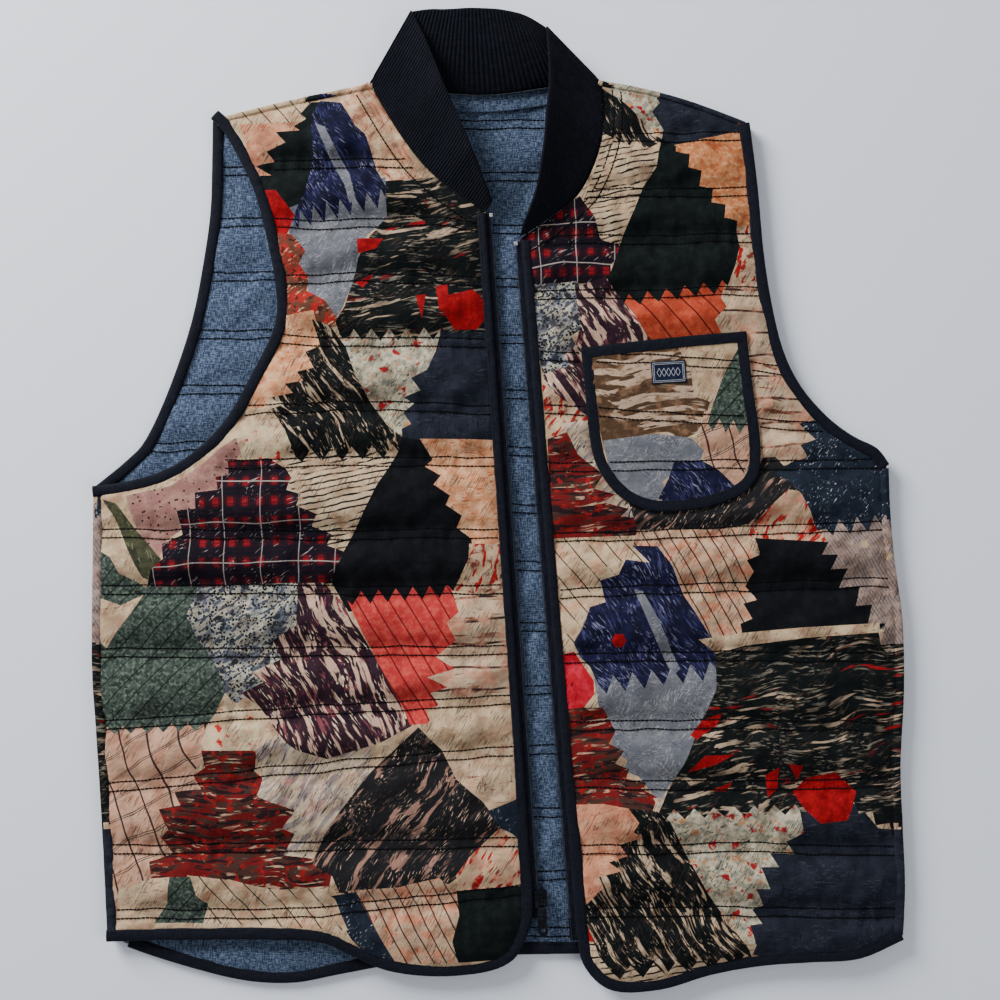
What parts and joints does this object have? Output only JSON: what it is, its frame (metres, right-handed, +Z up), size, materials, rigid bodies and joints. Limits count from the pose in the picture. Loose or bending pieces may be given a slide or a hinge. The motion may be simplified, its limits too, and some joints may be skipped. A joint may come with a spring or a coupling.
{
  "type": "quilted sleeveless vest",
  "caption": "Quilted patchwork-print sleeveless vest lying flat, open separating front zip, rib stand collar, bound edges, patch chest pocket, chambray lining",
  "frame": {"origin": "middle of the underside of the vest laid flat on its back", "axes": "+X towards the wearer's left side (right as seen from above), +Y from hem to collar, +Z up off the surface it lies on"},
  "size_m": [0.6056, 0.7298, 0.0365],
  "materials": {
    "printed_cotton": "printed plain-weave cotton, quilted",
    "chambray": "blue chambray weave",
    "wadding": "bonded fibre sheet",
    "navy_binding": "folded cotton binding tape",
    "rib_knit": "one by one rib knit",
    "zip_tape": "woven polyester tape",
    "zip_coil": "satin nylon coil",
    "dark_metal": "dark painted zinc",
    "woven_label": "damask woven label"
  },
  "bodies": {
    "root": {"back_shell": "printed_cotton", "back_wadding": "wadding", "back_lining": "chambray", "back_hem_binding": "navy_binding", "armhole_binding_back_left": "navy_binding", "armhole_binding_back_right": "navy_binding", "back_neck_tape": "zip_tape", "side_seam_left": "printed_cotton", "side_seam_right": "printed_cotton", "shoulder_seam_left": "printed_cotton", "shoulder_seam_right": "printed_cotton", "front_left_side_shell": "printed_cotton", "front_left_side_wadding": "wadding", "front_left_side_lining": "chambray", "front_right_side_shell": "printed_cotton", "front_right_side_wadding": "wadding", "front_right_side_lining": "chambray", "armhole_binding_front_left": "navy_binding", "armhole_binding_front_right": "navy_binding", "rib_collar_back": "rib_knit", "rib_collar_turn_left": "rib_knit", "rib_collar_turn_right": "rib_knit"},
    "front_left": {"front_left_shell": "printed_cotton", "front_left_wadding": "wadding", "front_left_lining": "chambray", "front_binding_left": "navy_binding", "rib_collar_left": "rib_knit", "zip_tape_left": "zip_tape", "zip_coil_left": "zip_coil", "zip_top_stop_left": "dark_metal", "zip_retainer_box": "dark_metal"},
    "front_right": {"front_right_shell": "printed_cotton", "front_right_wadding": "wadding", "front_right_lining": "chambray", "front_binding_right": "navy_binding", "rib_collar_right": "rib_knit", "zip_tape_right": "zip_tape", "zip_coil_right": "zip_coil", "zip_top_stop_right": "dark_metal", "zip_insertion_pin": "dark_metal", "pocket_patch": "printed_cotton", "pocket_side_binding": "navy_binding", "pocket_top_binding": "navy_binding", "woven_label": "woven_label"},
    "zip_slider": {"zip_slider_body": "dark_metal"},
    "zip_pull_tab": {"zip_pull": "dark_metal"}
  },
  "joints": [
    {"name": "fold_front_left", "type": "hinge", "parent": "root", "child": "front_left", "pos_m": [-0.17754, 0.02011, 0.0215], "axis": [-0.304, -0.9524, -0.0233], "range_deg": [0, 150]},
    {"name": "fold_front_right", "type": "hinge", "parent": "root", "child": "front_right", "pos_m": [0.16852, 0.01003, 0.0215], "axis": [-0.3526, 0.9355, 0.023], "range_deg": [0, 150], "deforming": ["pocket_patch", "pocket_side_binding", "pocket_top_binding", "woven_label"]},
    {"name": "slide_zip", "type": "slide", "parent": "front_left", "child": "zip_slider", "axis": [-0.0684, 0.9977, 0], "range_m": [0, 0.5035]},
    {"name": "swing_pull", "type": "hinge", "parent": "zip_slider", "child": "zip_pull_tab", "pos_m": [0.03236, -0.29835, 0.0117], "axis": [-0.9977, -0.0684, 0], "range_deg": [0, 150]}
  ]
}
